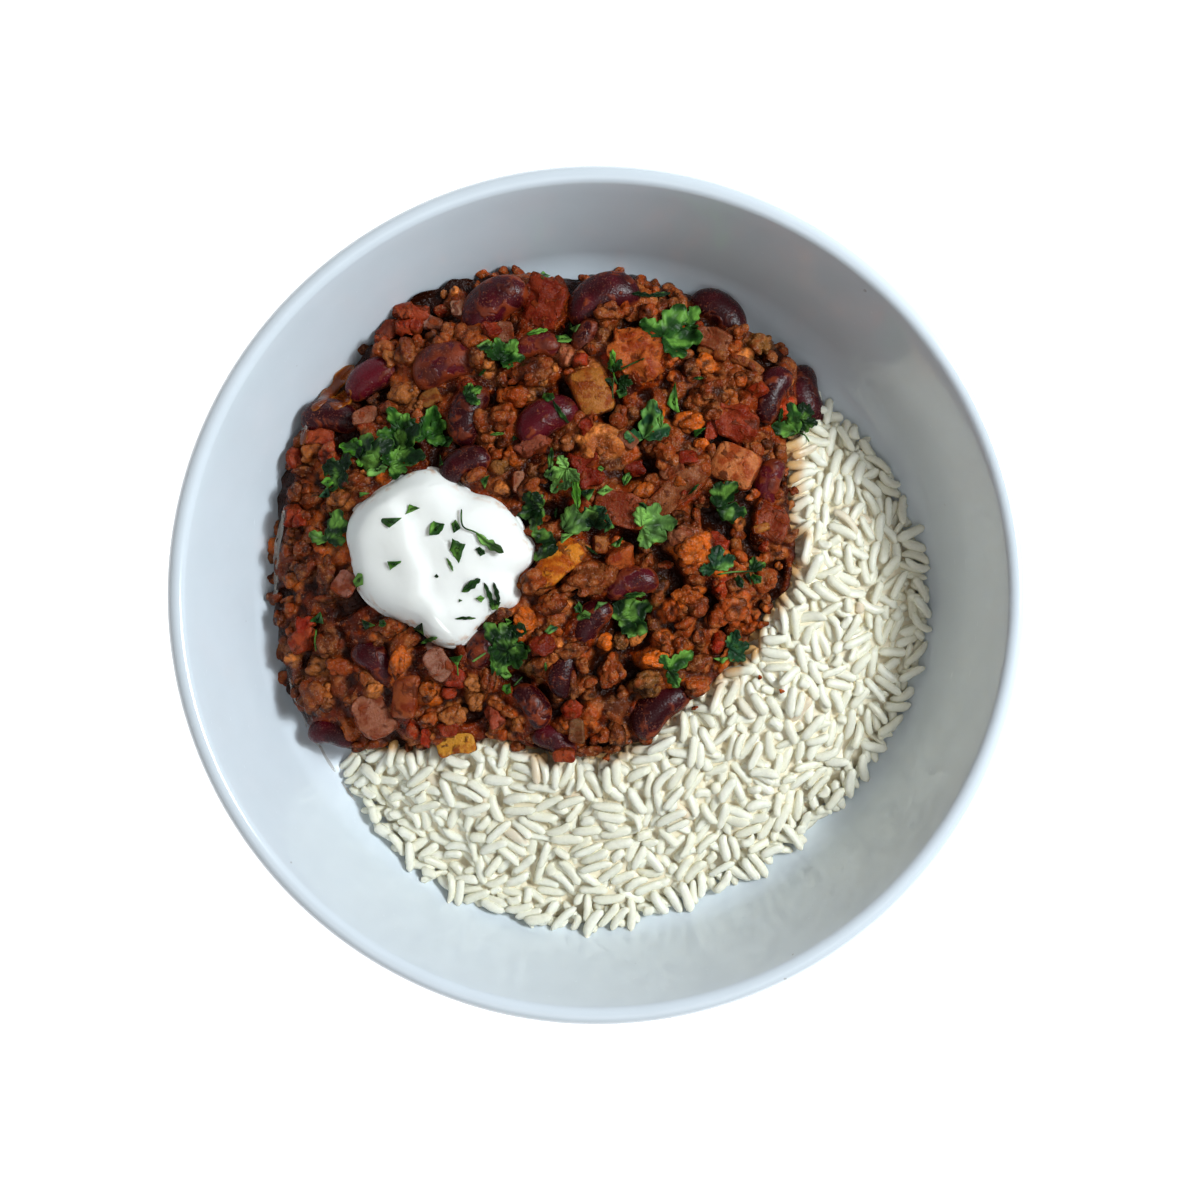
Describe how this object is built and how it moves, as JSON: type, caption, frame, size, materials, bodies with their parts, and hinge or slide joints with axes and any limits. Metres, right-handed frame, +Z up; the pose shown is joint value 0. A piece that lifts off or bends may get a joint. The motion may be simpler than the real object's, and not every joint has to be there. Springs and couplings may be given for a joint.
{
  "type": "bowl of chili con carne",
  "caption": "Shallow white bowl of minced meat chili with kidney beans, a dollop of sour cream and chopped parsley, beside a crescent of white rice.",
  "frame": {"origin": "bottom centre of the bowl's foot ring, on the surface that it stands on", "axes": "+Z up along the bowl's axis; the chili lies on the -X +Y side and the rice on the +X -Y side"},
  "size_m": [0.2198, 0.2198, 0.052],
  "materials": {
    "bowl": "glossy pale blue-white glaze",
    "chili": "wet red-brown sauce over minced meat",
    "rice": "moist, slightly translucent white grains",
    "sour_cream": "smooth soft white cream",
    "kidney_bean": "dark maroon bean skin, smooth with thin sauce",
    "pepper": "cooked yellow and red pepper, wet",
    "tomato": "cooked red tomato, wet",
    "onion": "cooked translucent onion stained by sauce",
    "parsley": "chopped fresh flat parsley leaf"
  },
  "bodies": {
    "root": {"bowl": "bowl", "chili": "chili", "rice": "rice", "sour_cream": "sour_cream", "kidney_bean_01": "kidney_bean", "kidney_bean_02": "kidney_bean", "kidney_bean_03": "kidney_bean", "kidney_bean_04": "kidney_bean", "kidney_bean_05": "kidney_bean", "kidney_bean_06": "kidney_bean", "kidney_bean_07": "kidney_bean", "kidney_bean_08": "kidney_bean", "kidney_bean_09": "kidney_bean", "kidney_bean_10": "kidney_bean", "kidney_bean_11": "kidney_bean", "kidney_bean_12": "kidney_bean", "kidney_bean_13": "kidney_bean", "kidney_bean_14": "kidney_bean", "kidney_bean_15": "kidney_bean", "kidney_bean_16": "kidney_bean", "kidney_bean_17": "kidney_bean", "kidney_bean_18": "kidney_bean", "kidney_bean_19": "kidney_bean", "kidney_bean_20": "kidney_bean", "kidney_bean_21": "kidney_bean", "kidney_bean_22": "kidney_bean", "kidney_bean_23": "kidney_bean", "pepper_1": "pepper", "pepper_2": "pepper", "pepper_3": "pepper", "pepper_4": "pepper", "pepper_5": "pepper", "tomato_1": "tomato", "tomato_2": "tomato", "tomato_3": "tomato", "tomato_4": "tomato", "onion_1": "onion", "onion_2": "onion", "onion_3": "onion", "onion_4": "onion", "onion_5": "onion", "onion_6": "onion"}
  },
  "joints": []
}
